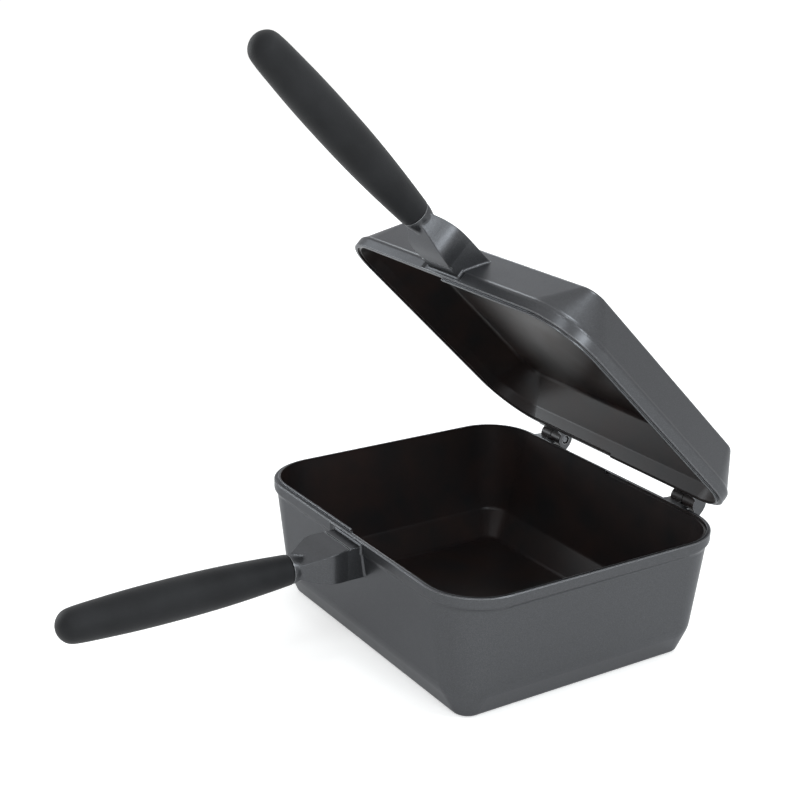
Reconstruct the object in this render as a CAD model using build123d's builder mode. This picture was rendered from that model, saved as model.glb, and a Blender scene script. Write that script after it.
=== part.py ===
from build123d import *
from math import cos, radians, sin, tan
import os

# Double sided flip pan: a deep pan and a shallow lid pan, hinged at the back.
# Millimetres, +Z up, +X right, handles towards -Y, hinges towards +Y.
# The origin is the centre of the deep pan's bottom face.
# The lid pan is shown swung open.

# Outline that both pans share at the rim.
WIDTH = 240.0
DEPTH = 206.5
CORNER_R = 36.0
BASE_H = 84.5
LID_H = 32.3

# Rim band and lapped joint. Each pan carries a raised lip on its left half and
# a matching rebate on its right half, so two halves nest face to face.
RIM_GAP = 0.3
RIM_W = 4.2
RIM_EDGE = 0.5
BAND_H = 6.8
BAND_PROUD = 2.0
LEDGE_W = 2.4
LIP_CLEAR = 0.3
LIP_H = 1.3
LIP_END = 0.4
LIP_EDGE = 0.3
REBATE_END = 0.1

# Outer shells as rows of (depth below the rim, inset from the rim, corner radius).
BASE_KNEE_Z = 18.0
RIM_ROW = (0.0, 0.0, CORNER_R)
BAND_ROW = (BAND_H, 0.0, CORNER_R)
FOOT_ROW = (BAND_H + BAND_PROUD, BAND_PROUD, CORNER_R - BAND_PROUD)
BASE_KNEE_ROW = (BASE_H - BASE_KNEE_Z, 10.2, 21.0)
BASE_BOTTOM_ROW = (BASE_H, 18.7, 9.0)
LID_TOP_ROW = (LID_H, 18.4, 10.0)
BASE_KNEE_R = 22.0
SHELL_EDGE_R = 4.0
BAND_EDGE_R = 3.0
BAND_FOOT_R = 4.0

# Inner cavities, as rows of the same kind. The last row is the cooking surface.
BASE_BEVEL_Z = 22.2
BASE_FLOOR_T = 4.9
LID_BEVEL_DEPTH = 8.6
LID_FLOOR_T = 4.0
MOUTH_ROW = (0.0, RIM_W, CORNER_R - RIM_W)
BASE_BEVEL_ROW = (BASE_H - BASE_BEVEL_Z, 12.5, 15.0)
BASE_FLOOR_ROW = (BASE_H - BASE_FLOOR_T, 25.2, 9.5)
LID_BEVEL_ROW = (LID_BEVEL_DEPTH, 7.0, 26.0)
LID_FLOOR_ROW = (LID_H - LID_FLOOR_T, 19.7, 10.0)
CAVITY_EDGE_R = 4.0

# Handle bracket, cast in one with each pan: a block on the wall, a flared taper as
# rows of (distance ahead of the block, half width, top and foot below the rim),
# then a round collar as rows of (distance behind the neck, radius).
BRACKET_W = 30.8
BRACKET_TOP = 3.6
BRACKET_FOOT = 24.5
BRACKET_OUT = 8.05
BRACKET_ROOT = 19.0
BRACKET_EDGE_R = 0.6
TAPER_ROWS = [(5.5, 16.4, 4.1, 24.1), (10.5, 16.5, 4.6, 23.7), (17.5, 13.9, 6.6, 23.0)]
TAPER_ROWS += [(23.5, 10.6, 8.9, 21.6), (30.2, 7.0, 10.6, 19.6)]
COLLAR_ROWS = [(0.0, 9.0), (2.5, 8.95), (7.5, 7.9), (13.0, 6.4)]
COLLAR_SEAT_R = 3.0
NECK_OUT = 32.2
NECK_DROP = 15.2
SEAT_R = 1.6
CREST_W = 0.9
GROOVE_W = 0.8
RECESS_W = 41.0
RECESS_DEPTH = 1.2
RECESS_TOP = 0.9
RECESS_RAMP = 30.0
SPIGOT_R = 6.0
SPIGOT_L = 7.0

# Grip: a rigid core screwed onto a steel stud, under a soft sleeve. Rows are
# (distance from the neck, radius), for the sleeve's outside and for the core.
GRIP_TILT = 0.7
GRIP_MOUTH = 0.3
GRIP_ROWS = [(GRIP_MOUTH, 9.3), (18.0, 10.6), (36.0, 11.65), (54.0, 12.3), (72.0, 12.5)]
GRIP_ROWS += [(90.0, 12.4), (108.0, 11.95), (122.0, 11.3), (135.0, 10.4)]
GRIP_CAP_L = 10.2
CAP_ANGLES = (25, 50, 72)
CORE_ROWS = [(GRIP_MOUTH, 7.3), (66.0, 10.3), (137.5, 6.4)]
MOUTH_EDGE_R = 0.8
SLEEVE_FIT = 0.02
SPIGOT_FIT = 0.05
STUD_R = 4.0
STUD_START = -15.0
STUD_END = 46.0
STUD_CHAMFER = 0.8
STUD_CLEAR = 0.4
STUD_WELL = 52.0
INSERT_R = 6.0
INSERT_START = 14.0
INSERT_END = 44.0

# Hinges. On each half a closed knuckle holds a pin, and a bored knuckle turns
# on the other half's pin.
HINGE_OUT = 10.85
HINGE_X = 68.5
HINGE_SHIFT = 2.5
KNUCKLE_R = 6.0
KNUCKLE_L = 10.35
KNUCKLE_GAP = 0.3
KNUCKLE_EDGE = 0.4
PAD_W = 22.0
PAD_PROUD = 1.8
PAD_ROOT = 1.5
PAD_FOOT = 6.0
PAD_EDGE_R = 1.0
PIN_R = 2.0
PIN_RUN = 0.05
PIN_CAP = 2.5
PIN_HEAD_R = 2.6
PIN_HEAD_L = 1.5
PIN_HEAD_CHAMFER = 0.7
PIN_SEAT_R = 3.0
PIN_SEAT_L = 2.4
PIN_END_GAP = 0.25

# The heel under each lid knuckle meets the deep pan's rim pad at STOP_ANGLE.
STOP_ANGLE = 105.0
STOP_GAP = 0.35
STOP_FLAT = 4.0
OPEN_ANGLE = 44.5

# Places of the two halves. A half is modelled with its rim at z = 0 and its
# body below; the lid half is turned over and then swung about the hinge axis.
RIM_Z = BASE_H
HINGE_Y = DEPTH / 2 + HINGE_OUT
AXIS_RISE = RIM_GAP / 2
AXIS_Z = RIM_Z + AXIS_RISE
HINGE = Location((0, HINGE_Y, AXIS_Z))
SWING = HINGE * Location((0, 0, 0), (-OPEN_ANGLE, 0, 0)) * HINGE.inverse()
BASE_PLACE = Location((0, 0, RIM_Z))
LID_PLACE = SWING * Location((0, 0, RIM_Z + RIM_GAP), (0, 180, 0))

# Working planes of a half.
BAND_Y = -DEPTH / 2
BRACKET_Y = BAND_Y - BRACKET_OUT
NECK_Y = BRACKET_Y - NECK_OUT
GRIP_DIR = (0, -cos(radians(GRIP_TILT)), -sin(radians(GRIP_TILT)))
GRIP_ACROSS = Plane(origin=(0, NECK_Y, -NECK_DROP), x_dir=(1, 0, 0), z_dir=GRIP_DIR)
GRIP_ALONG = Plane(origin=(0, NECK_Y, -NECK_DROP), x_dir=GRIP_DIR, z_dir=GRIP_ACROSS.y_dir)
GRIP_AXIS = Axis((0, NECK_Y, -NECK_DROP), GRIP_DIR)


def across_y(y, z):
    """Upright plane facing the handle side, centred at a height z."""
    return Plane(origin=(0, y, z), x_dir=(1, 0, 0), z_dir=(0, -1, 0))


def hinge_plane(x):
    """Plane square to the hinge axis, with its own x along +Y and its y along +Z."""
    return Plane(origin=(x, HINGE_Y, AXIS_RISE), x_dir=(0, 1, 0), z_dir=(1, 0, 0))


def level_edges(body, z):
    """Edges of body that lie flat at a height z."""
    return body.edges().filter_by_position(Axis.Z, z - 0.01, z + 0.01)


def stack(rows):
    """Solid through the rounded outlines listed in rows, top row first."""
    with BuildPart() as body:
        for depth, inset, radius in rows:
            with BuildSketch(Plane.XY.offset(-depth)):
                RectangleRounded(WIDTH - 2 * inset, DEPTH - 2 * inset, radius)
        loft(ruled=True)
    return body


def make_shell(rows, knee_r=0.0):
    """Outside of a pan as a full solid, with its edges rounded."""
    blank = stack(rows)
    with BuildPart() as shell:
        add(blank.part)
        if knee_r > 0:
            fillet(level_edges(shell, -rows[-2][0]), knee_r)
        fillet(level_edges(shell, -rows[-1][0]), SHELL_EDGE_R)
        fillet(level_edges(shell, -rows[1][0]), BAND_EDGE_R)
        fillet(level_edges(shell, -rows[2][0]), BAND_FOOT_R)
        chamfer(level_edges(shell, 0), RIM_EDGE)
    return shell


def make_cavity(rows):
    """Inside of a pan as a solid, to be cut out of the shell."""
    blank = stack([(-LIP_H, rows[0][1], rows[0][2])] + rows)
    with BuildPart() as cavity:
        add(blank.part)
        for depth, _, _ in rows[1:]:
            fillet(level_edges(cavity, -depth), CAVITY_EDGE_R)
    return cavity


def make_lip():
    """Raised lip on the left half of a rim."""
    inset = LEDGE_W + LIP_CLEAR
    with BuildPart() as lip:
        with BuildSketch(Plane.XY):
            RectangleRounded(WIDTH - 2 * inset, DEPTH - 2 * inset, CORNER_R - inset)
            RectangleRounded(WIDTH - 2 * RIM_W, DEPTH - 2 * RIM_W, CORNER_R - RIM_W, mode=Mode.SUBTRACT)
            with Locations((-LIP_END, 0)):
                Rectangle(WIDTH, DEPTH, align=(Align.MAX, Align.CENTER), mode=Mode.INTERSECT)
        extrude(amount=LIP_H)
        chamfer(level_edges(lip, LIP_H), LIP_EDGE)
    return lip


def make_rebate():
    """Space cut out of the right half of a rim for the other half's lip."""
    with BuildPart() as rebate:
        with BuildSketch(Plane.XY):
            RectangleRounded(WIDTH - 2 * LEDGE_W, DEPTH - 2 * LEDGE_W, CORNER_R - LEDGE_W)
            with Locations((REBATE_END, 0)):
                Rectangle(WIDTH, DEPTH, align=(Align.MIN, Align.CENTER), mode=Mode.INTERSECT)
        extrude(amount=-LIP_H)
    return rebate


def make_bracket():
    """Handle bracket: a block on the wall, a flared taper and a round collar."""
    block = (0.0, BRACKET_W / 2, BRACKET_TOP, BRACKET_FOOT)
    with BuildPart() as bracket:
        for ahead, half_w, top, foot in [block] + TAPER_ROWS:
            with BuildSketch(across_y(BRACKET_Y - ahead, -(top + foot) / 2)):
                RectangleRounded(2 * half_w, foot - top, BRACKET_EDGE_R)
        loft()
        with BuildSketch(across_y(BRACKET_Y, -(BRACKET_TOP + BRACKET_FOOT) / 2)):
            RectangleRounded(BRACKET_W, BRACKET_FOOT - BRACKET_TOP, BRACKET_EDGE_R)
        extrude(amount=-(BRACKET_OUT + BRACKET_ROOT))
        for behind, radius in COLLAR_ROWS:
            with BuildSketch(across_y(NECK_Y + behind, -NECK_DROP)):
                Circle(radius)
        loft()
        fillet(bracket.edges(Select.NEW), COLLAR_SEAT_R)
        with BuildSketch(across_y(BRACKET_Y + CREST_W + GROOVE_W, -BRACKET_TOP)):
            Rectangle(BRACKET_W, 2 * GROOVE_W)
        extrude(amount=GROOVE_W, mode=Mode.SUBTRACT)
        with BuildSketch(GRIP_ACROSS):
            Circle(SPIGOT_R)
        extrude(amount=SPIGOT_L)
    return bracket


def knuckle_spans(shift):
    """Ends along X of a half's closed knuckle and of its bored knuckle."""
    closed_end = -HINGE_X + shift - KNUCKLE_GAP / 2
    bored_end = HINGE_X + shift - KNUCKLE_GAP / 2
    return (closed_end - KNUCKLE_L, closed_end), (bored_end - KNUCKLE_L, bored_end)


def make_knuckle(span, heel):
    """One hinge knuckle with its web to the rim, and its stop heel if it has one."""
    start, end = span
    web_l = HINGE_Y - DEPTH / 2 + PAD_ROOT
    reach = HINGE_Y - DEPTH / 2 - PAD_PROUD - STOP_GAP
    lean = radians(STOP_ANGLE - 90)
    tip = (reach * sin(lean), reach * cos(lean))
    corner = (tip[0] + STOP_FLAT * cos(lean), tip[1] - STOP_FLAT * sin(lean))
    with BuildPart() as knuckle:
        with BuildSketch(hinge_plane(start)):
            Circle(KNUCKLE_R)
        extrude(amount=end - start)
        chamfer(knuckle.edges().filter_by(GeomType.CIRCLE), KNUCKLE_EDGE)
        with BuildSketch(hinge_plane(start)):
            with Locations((0, -AXIS_RISE)):
                Rectangle(web_l, KNUCKLE_R - AXIS_RISE, align=(Align.MAX, Align.MAX))
            if heel:
                with BuildLine():
                    Polyline((-KNUCKLE_R, 0), tip, corner, (KNUCKLE_R, 0), close=True)
                make_face()
        extrude(amount=end - start)
    return knuckle


def make_bores(shift):
    """Pin holes of a half: a closed one, and a through one with a seat for a pin head."""
    (_, closed_end), (bored_start, bored_end) = knuckle_spans(shift)
    with BuildPart() as bores:
        with BuildSketch(hinge_plane(closed_end)):
            Circle(PIN_R)
        extrude(amount=-(KNUCKLE_L - PIN_CAP))
        with BuildSketch(hinge_plane(bored_start)):
            Circle(PIN_R + PIN_RUN)
        extrude(amount=KNUCKLE_L)
        with BuildSketch(hinge_plane(bored_start)):
            Circle(PIN_SEAT_R)
        extrude(amount=PIN_SEAT_L)
    return bores


def make_pads(shift):
    """Raised pads on the rim band behind the hinges."""
    face_y = DEPTH / 2 + PAD_PROUD
    with BuildPart() as pads:
        for centre in (-HINGE_X + shift, HINGE_X + shift):
            with BuildSketch(Plane(origin=(centre, face_y, 0), x_dir=(1, 0, 0), z_dir=(0, -1, 0))):
                Rectangle(PAD_W, PAD_FOOT, align=(Align.CENTER, Align.MAX))
            extrude(amount=PAD_PROUD + PAD_ROOT)
        fillet(pads.faces().sort_by(Axis.Y)[-2:].edges().filter_by(Axis.Z), PAD_EDGE_R)
    return pads


def make_pan(shell, cavity, shift, heel):
    """One whole casting: shell, bracket, hinge knuckles and lapped rim."""
    bracket = make_bracket()
    bosses = [make_pads(shift)] + [make_knuckle(span, heel) for span in knuckle_spans(shift)]
    cuts = [cavity, make_rebate(), make_bores(shift), make_rod(STUD_R, STUD_START, SPIGOT_L)]
    lip = make_lip()
    ramp_l = RECESS_DEPTH / tan(radians(RECESS_RAMP))
    with BuildPart() as pan:
        add(shell.part)
        with BuildSketch(Plane.XY.offset(-RECESS_TOP)):
            with Locations((0, BAND_Y)):
                Trapezoid(RECESS_W + 2 * ramp_l, 2 * RECESS_DEPTH, RECESS_RAMP)
        extrude(amount=-(BAND_H + BAND_PROUD - RECESS_TOP), mode=Mode.SUBTRACT)
        add(bracket.part)
        fillet(pan.edges(Select.NEW), SEAT_R)
        for boss in bosses:
            add(boss.part)
        for cut in cuts:
            add(cut.part, mode=Mode.SUBTRACT)
        add(lip.part)
    return pan


def make_pin(shift):
    """Headed hinge pin held by a half's closed knuckle."""
    (_, closed_end), _ = knuckle_spans(shift)
    start = closed_end - (KNUCKLE_L - PIN_CAP) + PIN_END_GAP
    head = closed_end + KNUCKLE_GAP + KNUCKLE_L - PIN_SEAT_L + PIN_END_GAP
    with BuildPart() as pin:
        with BuildSketch(hinge_plane(start)):
            Circle(PIN_R)
        extrude(amount=head - start)
        with BuildSketch(hinge_plane(head)):
            Circle(PIN_HEAD_R)
        extrude(amount=PIN_HEAD_L)
        chamfer(pin.faces().sort_by(Axis.X)[-1].edges(), PIN_HEAD_CHAMFER)
    return pin


def make_grip_outside():
    """Body of revolution of the whole grip, domed at its tip."""
    last_s, last_r = GRIP_ROWS[-1]
    cap = [(last_s + GRIP_CAP_L * sin(radians(a)), last_r * cos(radians(a))) for a in CAP_ANGLES]
    rows = GRIP_ROWS + cap + [(last_s + GRIP_CAP_L, 0)]
    with BuildPart() as outside:
        with BuildSketch(GRIP_ALONG):
            with BuildLine():
                Spline(*rows, tangents=[(1, 0.08), (0, -1)])
                Polyline(rows[-1], (GRIP_MOUTH, 0), rows[0])
            make_face()
        revolve(axis=GRIP_AXIS)
    return outside


def make_core_form(grow):
    """Body of revolution of the core, grown outwards."""
    rows = [(s, r + grow) for s, r in CORE_ROWS]
    with BuildPart() as form:
        with BuildSketch(GRIP_ALONG):
            with BuildLine():
                Polyline((GRIP_MOUTH, 0), *rows, (rows[-1][0], 0), close=True)
            make_face()
        revolve(axis=GRIP_AXIS)
    return form


def make_rod(radius, start, end):
    """Round rod on the grip's axis."""
    with BuildPart() as rod:
        with BuildSketch(GRIP_ACROSS.offset(start)):
            Circle(radius)
        extrude(amount=end - start)
    return rod


def make_sleeve():
    """Soft sleeve over the whole grip, open at the neck."""
    outside = make_grip_outside()
    inside = make_core_form(SLEEVE_FIT)
    with BuildPart() as sleeve:
        add(outside.part)
        fillet(sleeve.edges().sort_by_distance((0, NECK_Y, -NECK_DROP))[0], MOUTH_EDGE_R)
        add(inside.part, mode=Mode.SUBTRACT)
    return sleeve


def make_core():
    """Rigid core with room for the spigot, the stud and the threaded insert."""
    body = make_core_form(0.0)
    rooms = [
        make_rod(SPIGOT_R + SPIGOT_FIT, 0, SPIGOT_L + GRIP_MOUTH),
        make_rod(STUD_R + STUD_CLEAR, 0, STUD_WELL),
        make_rod(INSERT_R, INSERT_START, INSERT_END),
    ]
    with BuildPart() as core:
        add(body.part)
        for room in rooms:
            add(room.part, mode=Mode.SUBTRACT)
    return core


def make_stud():
    """Steel stud that joins the bracket and the grip."""
    rod = make_rod(STUD_R, STUD_START, STUD_END)
    with BuildPart() as stud:
        add(rod.part)
        chamfer(stud.edges().filter_by(GeomType.CIRCLE), STUD_CHAMFER)
    return stud


def make_insert():
    """Threaded brass insert moulded into the core."""
    outside = make_rod(INSERT_R, INSERT_START, INSERT_END)
    thread = make_rod(STUD_R, INSERT_START, INSERT_END)
    with BuildPart() as insert:
        add(outside.part)
        add(thread.part, mode=Mode.SUBTRACT)
    return insert


base_shell = make_shell([RIM_ROW, BAND_ROW, FOOT_ROW, BASE_KNEE_ROW, BASE_BOTTOM_ROW], BASE_KNEE_R)
lid_shell = make_shell([RIM_ROW, BAND_ROW, FOOT_ROW, LID_TOP_ROW])
base_cavity = make_cavity([MOUTH_ROW, BASE_BEVEL_ROW, BASE_FLOOR_ROW])
lid_cavity = make_cavity([MOUTH_ROW, LID_BEVEL_ROW, LID_FLOOR_ROW])

pieces = {
    "base_pan": (make_pan(base_shell, base_cavity, -HINGE_SHIFT, False), BASE_PLACE),
    "lid_pan": (make_pan(lid_shell, lid_cavity, HINGE_SHIFT, True), LID_PLACE),
    "base_hinge_pin": (make_pin(-HINGE_SHIFT), BASE_PLACE),
    "lid_hinge_pin": (make_pin(HINGE_SHIFT), LID_PLACE),
}
for side, place in (("base", BASE_PLACE), ("lid", LID_PLACE)):
    pieces[f"{side}_handle_stud"] = (make_stud(), place)
    pieces[f"{side}_thread_insert"] = (make_insert(), place)
    pieces[f"{side}_grip_core"] = (make_core(), place)
    pieces[f"{side}_grip_sleeve"] = (make_sleeve(), place)

os.makedirs("parts", exist_ok=True)
for name, (piece, place) in pieces.items():
    placed = piece.part.moved(place)
    placed.label = name
    export_step(placed, f"parts/{name}.step")
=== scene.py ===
import math

import bpy
from mathutils import Matrix, Vector

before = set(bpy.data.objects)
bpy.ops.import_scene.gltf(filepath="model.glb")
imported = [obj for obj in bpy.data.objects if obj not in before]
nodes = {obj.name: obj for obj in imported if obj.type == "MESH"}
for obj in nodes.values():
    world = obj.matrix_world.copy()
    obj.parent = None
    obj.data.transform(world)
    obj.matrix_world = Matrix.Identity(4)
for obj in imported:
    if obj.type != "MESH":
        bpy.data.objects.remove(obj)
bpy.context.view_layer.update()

scene = bpy.context.scene


# Camera
# A long lens a little higher than the raised grip, looking down over the deep pan's
# front corner, so that both grips, both hollows and both hinges are in view.
EYE = Vector((0.71763, -0.53254, 0.45609))
YAW, PITCH, ROLL = math.radians(57.11), math.radians(20.25), math.radians(1.11)
SENSOR_MM, FOCAL_MM = 36, 67.65
SHIFT_ACROSS, SHIFT_UP = 0.0042, 0.0445
NEAR_LIMIT = 0.01

back = Vector((math.sin(YAW) * math.cos(PITCH), -math.cos(YAW) * math.cos(PITCH), math.sin(PITCH)))
level = (-back).cross(Vector((0, 0, 1))).normalized()
upright = level.cross(-back)
across = math.cos(ROLL) * level + math.sin(ROLL) * upright
above = math.cos(ROLL) * upright - math.sin(ROLL) * level

lens = bpy.data.cameras.new("studio_camera")
lens.sensor_width = SENSOR_MM
lens.lens = FOCAL_MM
lens.shift_x = SHIFT_ACROSS
lens.shift_y = SHIFT_UP
lens.clip_start = NEAR_LIMIT
camera = bpy.data.objects.new("studio_camera", lens)
camera.matrix_world = Matrix((across, above, back)).transposed().to_4x4()
camera.location = EYE
scene.collection.objects.link(camera)
scene.camera = camera
scene.view_settings.view_transform = "Standard"


# Studio floor, room and lamps
# A matt white sheet that keeps the object's shadow, in a plain white room, with one large
# soft box to the right and small ones all round and overhead.
FLOOR_HALF = 12.0
FLOOR_WHITE, WHITE = "#e9e9e8", "#ffffff"
FLOOR_LIFT = 0.46  # added to the sheet's own brightness where it is seen, never as light
ROOM_LIGHT, ROOM_WHITE = 0.72, 1.0  # what the room gives off, and what is seen of it
LAMP_TINT = (0.92, 0.97, 1.0)
LAMP_AIM = Vector((0, 0, 0.12))


def linear(code):
    """An sRGB hex colour as the linear colour that a shader takes."""
    channels = [int(code[i:i + 2], 16) / 255 for i in (1, 3, 5)]
    return [c / 12.92 if c <= 0.04045 else ((c + 0.055) / 1.055) ** 2.4 for c in channels] + [1.0]


def blank_tree(owner):
    """The emptied node tree of a new material or world."""
    owner.use_nodes = True
    owner.node_tree.nodes.clear()
    return owner.node_tree


def add(tree, kind, inputs, **settings):
    """One node with its settings. An input is a value, or another node's socket to link to."""
    made = tree.nodes.new(kind)
    for name, value in settings.items():
        setattr(made, name, value)
    for name, value in inputs.items():
        if isinstance(value, bpy.types.NodeSocket):
            tree.links.new(value, made.inputs[name])
        else:
            made.inputs[name].default_value = value
    return made


def backdrop_rays(tree):
    """1 for a ray from the camera, off a gloss or through something clear: it sees plain white."""
    rays = add(tree, "ShaderNodeLightPath", {})
    seen = add(tree, "ShaderNodeMath", {
        0: rays.outputs["Is Camera Ray"], 1: rays.outputs["Is Glossy Ray"]}, operation="MAXIMUM")
    seen = add(tree, "ShaderNodeMath", {
        0: seen.outputs[0], 1: rays.outputs["Is Transmission Ray"]}, operation="MAXIMUM")
    return seen.outputs[0]


paper = bpy.data.materials.new("matt_white_paper")
tree = blank_tree(paper)
matt = add(tree, "ShaderNodeBsdfDiffuse", {"Color": linear(FLOOR_WHITE)})
lift = add(tree, "ShaderNodeEmission", {"Color": linear(WHITE), "Strength": FLOOR_LIFT})
lifted = add(tree, "ShaderNodeAddShader", {0: matt.outputs[0], 1: lift.outputs[0]})
sheet = add(tree, "ShaderNodeMixShader", {
    0: backdrop_rays(tree), 1: matt.outputs[0], 2: lifted.outputs[0]})
add(tree, "ShaderNodeOutputMaterial", {"Surface": sheet.outputs[0]})

corners = [(x * FLOOR_HALF, y * FLOOR_HALF, 0) for x, y in ((-1, -1), (1, -1), (1, 1), (-1, 1))]
sheet_mesh = bpy.data.meshes.new("studio_floor")
sheet_mesh.from_pydata(corners, [], [(0, 1, 2, 3)])
sheet_mesh.materials.append(paper)
floor = bpy.data.objects.new("studio_floor", sheet_mesh)
scene.collection.objects.link(floor)

room = bpy.data.worlds.new("white_room")
tree = blank_tree(room)
walls = add(tree, "ShaderNodeBackground", {"Color": linear(WHITE), "Strength": ROOM_LIGHT})
white = add(tree, "ShaderNodeBackground", {"Color": linear(WHITE), "Strength": ROOM_WHITE})
sky = add(tree, "ShaderNodeMixShader", {
    0: backdrop_rays(tree), 1: walls.outputs[0], 2: white.outputs[0]})
add(tree, "ShaderNodeOutputWorld", {"Surface": sky.outputs[0]})
scene.world = room

# name, place, watts, width and height in metres
soft_boxes = [
    ("soft_box_left", (-1.62, -1.00, 0.36), 8, 0.3, 0.4),
    ("soft_box_left_high", (-1.5, -0.6, 1.0), 3, 0.4, 0.4),
    ("soft_box_left_rear", (-1.6, 1.15, 0.60), 2.2, 0.4, 0.3),
    ("soft_box_right", (1.9, -0.05, 0.80), 10, 0.55, 0.45),
    ("soft_box_right_rear", (1.3, 0.7, 1.5), 8, 0.4, 0.4),
    ("soft_box_back", (-0.05, 1.2, 1.8), 8, 0.35, 0.3),
    ("soft_box_front", (0.8, -0.85, 1.35), 3, 0.4, 0.3),
    ("soft_box_front_right", (1.6, -1.2, 0.35), 2.5, 0.3, 0.3),
    ("soft_box_top", (0.50, -0.15, 1.9), 2.5, 0.3, 0.25),
]
for name, place, watts, wide, high in soft_boxes:
    lamp = bpy.data.lights.new(name, "AREA")
    lamp.shape = "RECTANGLE"
    lamp.size = wide
    lamp.size_y = high
    lamp.energy = watts
    lamp.color = LAMP_TINT
    box = bpy.data.objects.new(name, lamp)
    box.location = place
    box.rotation_euler = (LAMP_AIM - Vector(place)).to_track_quat("-Z", "Y").to_euler()
    scene.collection.objects.link(box)


# The two pans
# Each is one casting in aluminium with its hinge knuckles and handle bracket, shot-blasted,
# then sprayed: a charcoal coating outside and a black non-stick one on the cooking faces.
HINGE_Y, HINGE_Z, LID_OPEN = 0.1141, 0.08465, math.radians(44.5)
HINGE = Vector((0, HINGE_Y, HINGE_Z))
DEEP_MIDDLE, LID_MIDDLE = (0, 0, 0.050), (0, 0, 0.094)
DEEP_REBATE_Z, LID_REBATE_Z = 0.0832, 0.0861  # of each rebate's bottom, when shut
REBATE_DEPTH_SLACK = 0.0005
REBATE_HALF_X, REBATE_HALF_Y, REBATE_SLACK = 0.1176, 0.10085, 0.0002
BARREL_Y = 0.1052  # the hinge barrels lie behind this
FACING_AXIS = 0.8  # a face square to an axis has more than this along it
# The third coat colour is a painted highlight, laid along edges.
COAT_GREY, COAT_FLAKE, COAT_EDGE_HIGHLIGHT, COAT_GRAZING = "#47484a", "#5c5d60", "#b4b6b9", "#cccdcf"
NONSTICK, NONSTICK_WARM = "#1e1d1e", "#281f1d"
FLAKES_PER_METRE, CLOUDS_PER_METRE, CRESTS_PER_METRE = 2400.0, 40.0, 2000.0
EDGE_ROUNDING = 0.0008
PEEL_HEIGHT = 0.00006


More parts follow.
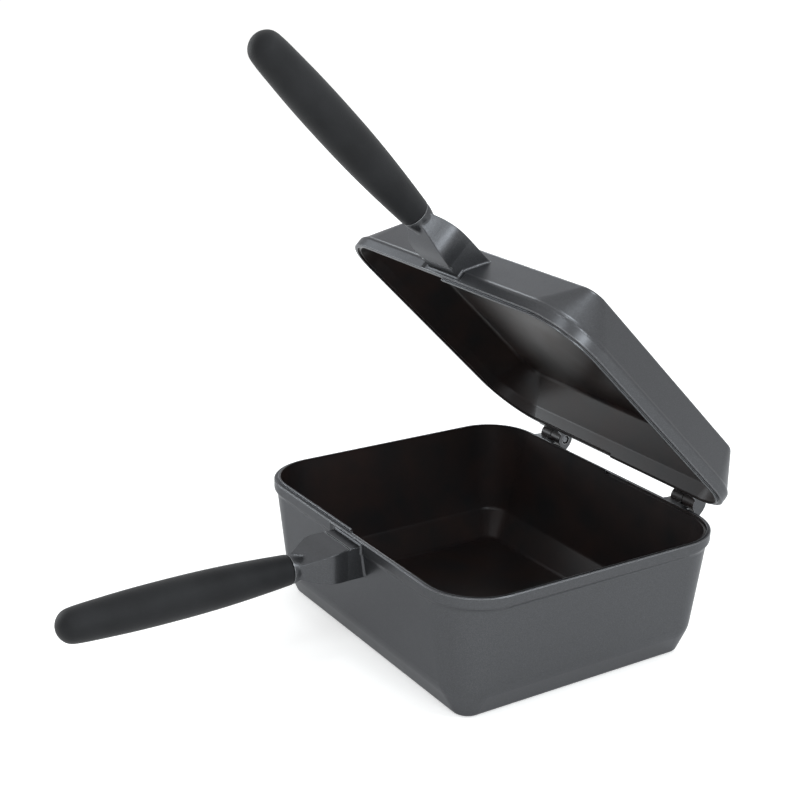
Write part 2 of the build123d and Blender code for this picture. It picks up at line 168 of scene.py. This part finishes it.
def coated_casting(name, closed_turn, middle, rebate_z):
    """Baked silicone-polyester coating on cast aluminium: satin, with a fine sparkle and a thin
    pale line painted along sharp edges, convex and hollow alike, as a painted highlight. Its
    powder makes it mirror less at a slant than a clear lacquer does. The cooking faces are
    PTFE, black and without sparkle."""
    made = bpy.data.materials.new(name)
    tree = blank_tree(made)
    # Places and directions as they are when the lid is shut.
    place = add(tree, "ShaderNodeTexCoord", {})
    shift = HINGE - Matrix.Rotation(closed_turn, 3, "X") @ HINGE
    shut = add(tree, "ShaderNodeMapping", {
        "Vector": place.outputs["Object"], "Location": shift,
        "Rotation": (closed_turn, 0, 0)}, vector_type="POINT")
    facing = add(tree, "ShaderNodeMapping", {
        "Vector": place.outputs["Normal"], "Rotation": (closed_turn, 0, 0)}, vector_type="VECTOR")
    along = add(tree, "ShaderNodeSeparateXYZ", {0: shut.outputs[0]})
    apart = add(tree, "ShaderNodeVectorMath", {0: shut.outputs[0]}, operation="ABSOLUTE")
    apart = add(tree, "ShaderNodeSeparateXYZ", {0: apart.outputs[0]})
    tilt = add(tree, "ShaderNodeVectorMath", {0: facing.outputs[0]}, operation="ABSOLUTE")
    tilt = add(tree, "ShaderNodeSeparateXYZ", {0: tilt.outputs[0]})

    # A cooking face looks towards the middle of its hollow and lies within the rim's rebate.
    arm = add(tree, "ShaderNodeVectorMath", {0: shut.outputs[0], 1: middle}, operation="SUBTRACT")
    outward = add(tree, "ShaderNodeVectorMath", {
        0: arm.outputs[0], 1: facing.outputs[0]}, operation="DOT_PRODUCT")
    inward = add(tree, "ShaderNodeMath", {
        0: outward.outputs["Value"], 1: 0.0}, operation="LESS_THAN")
    within_x = add(tree, "ShaderNodeMath", {
        0: apart.outputs[0], 1: REBATE_HALF_X + REBATE_SLACK}, operation="LESS_THAN")
    within_y = add(tree, "ShaderNodeMath", {
        0: apart.outputs[1], 1: REBATE_HALF_Y + REBATE_SLACK}, operation="LESS_THAN")
    within = add(tree, "ShaderNodeMath", {
        0: within_x.outputs[0], 1: within_y.outputs[0]}, operation="MULTIPLY")
    hollow = add(tree, "ShaderNodeMath", {
        0: within.outputs[0], 1: inward.outputs[0]}, operation="MULTIPLY")
    # The rebate's bottom, 1.3 mm below the rim, is black too.
    level_face = add(tree, "ShaderNodeMath", {
        0: tilt.outputs[2], 1: FACING_AXIS}, operation="GREATER_THAN")
    rebate = add(tree, "ShaderNodeMath", {
        0: apart.outputs[2], 1: rebate_z, 2: REBATE_DEPTH_SLACK}, operation="COMPARE")
    rebate = add(tree, "ShaderNodeMath", {
        0: rebate.outputs[0], 1: level_face.outputs[0]}, operation="MULTIPLY")
    cooking = add(tree, "ShaderNodeMath", {
        0: hollow.outputs[0], 1: rebate.outputs[0]}, operation="MAXIMUM")
    # The hinge barrels, all but their ends, are made black too: painted shade standing in for the
    # shade and dark reflections they sit in.
    behind = add(tree, "ShaderNodeMath", {
        0: along.outputs[1], 1: BARREL_Y}, operation="GREATER_THAN")
    round_face = add(tree, "ShaderNodeMath", {
        0: tilt.outputs[0], 1: FACING_AXIS}, operation="LESS_THAN")
    painted_barrel_shade = add(tree, "ShaderNodeMath", {
        0: behind.outputs[0], 1: round_face.outputs[0]}, operation="MULTIPLY")
    black = add(tree, "ShaderNodeMath", {
        0: cooking.outputs[0], 1: painted_barrel_shade.outputs[0]}, operation="MAXIMUM")

    # Mineral flakes 0.4 mm apart, coarser than the real 0.05 mm ones so that they show.
    flakes = add(tree, "ShaderNodeTexVoronoi", {
        "Vector": place.outputs["Object"], "Scale": FLAKES_PER_METRE})
    speck = add(tree, "ShaderNodeMapRange", {
        "Value": flakes.outputs["Distance"], "From Min": 0.1, "From Max": 0.5,
        "To Min": 1.0, "To Max": 0.0})
    # Clouding of the sprayed film, about 25 mm across.
    cloud = add(tree, "ShaderNodeTexNoise", {
        "Vector": place.outputs["Object"], "Scale": CLOUDS_PER_METRE, "Detail": 3.0})
    cloud = add(tree, "ShaderNodeMapRange", {
        "Value": cloud.outputs[0], "From Min": 0.3, "From Max": 0.7})
    # Painted highlight on edges, convex and hollow alike: pale where a surface rounded over by 0.8
    # mm would face another way than the real one.
    rounded = add(tree, "ShaderNodeBevel", {"Radius": EDGE_ROUNDING}, samples=8)
    true = add(tree, "ShaderNodeNewGeometry", {})
    agree = add(tree, "ShaderNodeVectorMath", {
        0: rounded.outputs[0], 1: true.outputs["Normal"]}, operation="DOT_PRODUCT")
    edge_highlight = add(tree, "ShaderNodeMapRange", {
        "Value": agree.outputs["Value"], "From Min": 0.98, "From Max": 0.84,
        "To Min": 0.0, "To Max": 0.8})

    outside = add(tree, "ShaderNodeMix", {
        6: linear(COAT_GREY), 7: linear(COAT_FLAKE), 0: speck.outputs[0]}, data_type="RGBA")
    outside = add(tree, "ShaderNodeMix", {
        6: outside.outputs[2], 7: linear(COAT_EDGE_HIGHLIGHT), 0: edge_highlight.outputs[0]}, data_type="RGBA")
    inside = add(tree, "ShaderNodeMix", {
        6: linear(NONSTICK), 7: linear(NONSTICK_WARM), 0: cloud.outputs[0]}, data_type="RGBA")
    colour = add(tree, "ShaderNodeMix", {
        6: outside.outputs[2], 7: inside.outputs[2], 0: black.outputs[0]}, data_type="RGBA")
    satin = add(tree, "ShaderNodeMapRange", {
        "Value": cloud.outputs[0], "To Min": 0.31, "To Max": 0.36})
    gloss = add(tree, "ShaderNodeMapRange", {
        "Value": cloud.outputs[0], "To Min": 0.30, "To Max": 0.36})
    roughness = add(tree, "ShaderNodeMix", {
        0: black.outputs[0], 2: satin.outputs[0], 3: gloss.outputs[0]})
    # The charcoal film is full of leafing aluminium powder, the non-stick one has none.
    metallic = add(tree, "ShaderNodeMapRange", {
        "Value": black.outputs[0], "To Min": 0.8, "To Max": 0.0})
    # Orange peel over the blasted skin, about 0.5 mm from crest to crest.
    peel = add(tree, "ShaderNodeTexNoise", {
        "Vector": place.outputs["Object"], "Scale": CRESTS_PER_METRE, "Detail": 2.0})
    relief = add(tree, "ShaderNodeBump", {
        "Height": peel.outputs[0], "Strength": 0.1, "Distance": PEEL_HEIGHT})
    coat = add(tree, "ShaderNodeBsdfPrincipled", {
        "Base Color": colour.outputs[2], "Roughness": roughness.outputs[0],
        "Normal": relief.outputs[0], "IOR": 1.5, "Metallic": metallic.outputs[0],
        "Specular IOR Level": 0.35, "Specular Tint": linear(COAT_GRAZING)})
    add(tree, "ShaderNodeOutputMaterial", {"Surface": coat.outputs[0]})
    return made


nodes["base_pan"].material_slots[0].material = coated_casting(
    "charcoal_coated_cast_aluminium_deep", 0, DEEP_MIDDLE, DEEP_REBATE_Z)
nodes["lid_pan"].material_slots[0].material = coated_casting(
    "charcoal_coated_cast_aluminium_lid", LID_OPEN, LID_MIDDLE, LID_REBATE_Z)


# Hinge pins
# A headed steel pin for each hinge, turned from bar, blackened and pressed into the closed
# knuckle of its own half. The lathe leaves fine rings round each head.
STEEL_TURNED, STEEL_DULL = "#77797c", "#3c3d40"
RINGS_SCALE = 640.0  # crests 0.5 mm apart, since a wave texture's are 0.314 m over its scale
STAINS_PER_METRE = 900.0
RING_HEIGHT = 0.00005

pin_steel = bpy.data.materials.new("blackened_turned_steel_pins")
tree = blank_tree(pin_steel)
place = add(tree, "ShaderNodeTexCoord", {})
spun = add(tree, "ShaderNodeMapping", {
    "Vector": place.outputs["Object"], "Location": HINGE}, vector_type="TEXTURE")
rings = add(tree, "ShaderNodeTexWave", {
    "Vector": spun.outputs[0], "Scale": RINGS_SCALE, "Distortion": 0.6},
    wave_type="RINGS", rings_direction="X")
# Uneven blackening, about 1 mm across.
wear = add(tree, "ShaderNodeTexNoise", {
    "Vector": place.outputs["Object"], "Scale": STAINS_PER_METRE, "Detail": 4.0})
colour = add(tree, "ShaderNodeMix", {
    6: linear(STEEL_TURNED), 7: linear(STEEL_DULL), 0: wear.outputs[0]}, data_type="RGBA")
rough = add(tree, "ShaderNodeMapRange", {"Value": wear.outputs[0], "To Min": 0.25, "To Max": 0.42})
relief = add(tree, "ShaderNodeBump", {
    "Height": rings.outputs[1], "Strength": 0.3, "Distance": RING_HEIGHT})
steel = add(tree, "ShaderNodeBsdfPrincipled", {
    "Base Color": colour.outputs[2], "Roughness": rough.outputs[0],
    "Normal": relief.outputs[0], "Metallic": 1.0})
add(tree, "ShaderNodeOutputMaterial", {"Surface": steel.outputs[0]})
for name in ("base_hinge_pin", "lid_hinge_pin"):
    nodes[name].material_slots[0].material = pin_steel


# Grip sleeves
# A silicone rubber skin over each grip's core, moulded in one tool with a fine spark-eroded
# grain, so it is matt and holds a soft highlight along its length.
RUBBER, RUBBER_DUSTY = "#141517", "#1c1d1f"
DUST_PER_METRE, PITS_PER_METRE = 55.0, 1400.0
PIT_DEPTH = 0.0002

skin = bpy.data.materials.new("moulded_silicone_rubber")
tree = blank_tree(skin)
place = add(tree, "ShaderNodeTexCoord", {})
# Handling leaves faint paler patches, about 18 mm across.
dust = add(tree, "ShaderNodeTexNoise", {
    "Vector": place.outputs["Object"], "Scale": DUST_PER_METRE, "Detail": 6.0})
dust = add(tree, "ShaderNodeMapRange", {
    "Value": dust.outputs[0], "From Min": 0.35, "From Max": 0.7})
# Grain of the tool, 0.7 mm from pit to pit.
grain = add(tree, "ShaderNodeTexNoise", {
    "Vector": place.outputs["Object"], "Scale": PITS_PER_METRE, "Detail": 3.0})
colour = add(tree, "ShaderNodeMix", {
    6: linear(RUBBER), 7: linear(RUBBER_DUSTY), 0: dust.outputs[0]}, data_type="RGBA")
rough = add(tree, "ShaderNodeMapRange", {
    "Value": grain.outputs[0], "To Min": 0.50, "To Max": 0.66})
relief = add(tree, "ShaderNodeBump", {
    "Height": grain.outputs[0], "Strength": 0.35, "Distance": PIT_DEPTH})
rubber = add(tree, "ShaderNodeBsdfPrincipled", {
    "Base Color": colour.outputs[2], "Roughness": rough.outputs[0],
    "Normal": relief.outputs[0], "IOR": 1.43, "Specular IOR Level": 0.25,
    "Sheen Weight": 0.03, "Sheen Roughness": 0.5})
add(tree, "ShaderNodeOutputMaterial", {"Surface": rubber.outputs[0]})
for name in ("base_grip_sleeve", "lid_grip_sleeve"):
    nodes[name].material_slots[0].material = skin


# Grip cores
# Glass-filled nylon, injection moulded, hidden in the sleeve. The short fibres leave it
# a little streaky and half matt.
NYLON, NYLON_STREAK = "#1b1c1e", "#2a2b2d"
STREAKS_PER_METRE = 700.0
FIBRE_HEIGHT = 0.0001

core = bpy.data.materials.new("glass_filled_nylon")
tree = blank_tree(core)
place = add(tree, "ShaderNodeTexCoord", {})
# Streaks of fibre about 1.4 mm apart.
fibre = add(tree, "ShaderNodeTexNoise", {
    "Vector": place.outputs["Object"], "Scale": STREAKS_PER_METRE, "Detail": 5.0,
    "Distortion": 1.5})
colour = add(tree, "ShaderNodeMix", {
    6: linear(NYLON), 7: linear(NYLON_STREAK), 0: fibre.outputs[0]}, data_type="RGBA")
rough = add(tree, "ShaderNodeMapRange", {
    "Value": fibre.outputs[0], "To Min": 0.38, "To Max": 0.55})
relief = add(tree, "ShaderNodeBump", {
    "Height": fibre.outputs[0], "Strength": 0.15, "Distance": FIBRE_HEIGHT})
nylon = add(tree, "ShaderNodeBsdfPrincipled", {
    "Base Color": colour.outputs[2], "Roughness": rough.outputs[0],
    "Normal": relief.outputs[0], "IOR": 1.53})
add(tree, "ShaderNodeOutputMaterial", {"Surface": nylon.outputs[0]})
for name in ("base_grip_core", "lid_grip_core"):
    nodes[name].material_slots[0].material = core


# Handle studs and thread inserts
# An M8 zinc-plated steel stud runs from each bracket into a ringed brass insert in the
# grip's core. The stud's rolled thread and the insert's rings are drawn in relief.
GRIP_TILT = math.radians(0.7)
NECK_Y, BASE_NECK_Z, LID_NECK_Z = -0.1435, 0.0693, 0.1
# The darker colour of each metal is painted shade for the roots of its thread or rings.
ZINC, ZINC_ROOT_SHADE = "#c2c5c8", "#84878b"
BRASS, BRASS_ROOT_SHADE = "#cfae64", "#8d7136"
THREAD_PITCH, THREAD_CREST = 0.00125, 0.0006
RING_PITCH, RING_CREST = 0.0008, 0.0002
WAVE_STEP = 0.314  # metres from crest to crest of a wave texture whose scale is 1
MOTTLES_PER_METRE = 500.0


def threaded(name, pale, root_shade, neck, direction, pitch, crest, low, high):
    """Plated or bare metal with even crests along its length, made a little darker in the roots by
    painted shade, and a mottle 2 mm across from handling."""
    made = bpy.data.materials.new(name)
    tree = blank_tree(made)
    place = add(tree, "ShaderNodeTexCoord", {})
    turn = Vector(direction).to_track_quat("Z", "Y").to_euler()
    along = add(tree, "ShaderNodeMapping", {
        "Vector": place.outputs["Object"], "Location": neck, "Rotation": turn},
        vector_type="TEXTURE")
    thread = add(tree, "ShaderNodeTexWave", {
        "Vector": along.outputs[0], "Scale": WAVE_STEP / pitch, "Distortion": 0.0},
        wave_type="BANDS", bands_direction="Z")
    mottle = add(tree, "ShaderNodeTexNoise", {
        "Vector": place.outputs["Object"], "Scale": MOTTLES_PER_METRE, "Detail": 4.0})
    # Painted shade: the darker colour sits in the roots, the paler one on the crests.
    colour = add(tree, "ShaderNodeMix", {
        6: linear(root_shade), 7: linear(pale), 0: thread.outputs[1]}, data_type="RGBA")
    rough = add(tree, "ShaderNodeMapRange", {
        "Value": mottle.outputs[0], "To Min": low, "To Max": high})
    relief = add(tree, "ShaderNodeBump", {
        "Height": thread.outputs[1], "Strength": 0.8, "Distance": crest})
    metal = add(tree, "ShaderNodeBsdfPrincipled", {
        "Base Color": colour.outputs[2], "Roughness": rough.outputs[0],
        "Normal": relief.outputs[0], "Metallic": 1.0})
    add(tree, "ShaderNodeOutputMaterial", {"Surface": metal.outputs[0]})
    return made


opening = Matrix.Rotation(-LID_OPEN, 3, "X")
base_neck = Vector((0, NECK_Y, BASE_NECK_Z))
lid_neck = HINGE + opening @ (Vector((0, NECK_Y, LID_NECK_Z)) - HINGE)
base_along = Vector((0, -math.cos(GRIP_TILT), -math.sin(GRIP_TILT)))
lid_along = opening @ Vector((0, -math.cos(GRIP_TILT), math.sin(GRIP_TILT)))
for side, neck, direction in (("base", base_neck, base_along), ("lid", lid_neck, lid_along)):
    nodes[side + "_handle_stud"].material_slots[0].material = threaded(
        "zinc_plated_steel_stud_" + side, ZINC, ZINC_ROOT_SHADE, neck, direction,
        THREAD_PITCH, THREAD_CREST, 0.22, 0.34)
    nodes[side + "_thread_insert"].material_slots[0].material = threaded(
        "machined_brass_insert_" + side, BRASS, BRASS_ROOT_SHADE, neck, direction,
        RING_PITCH, RING_CREST, 0.25, 0.40)
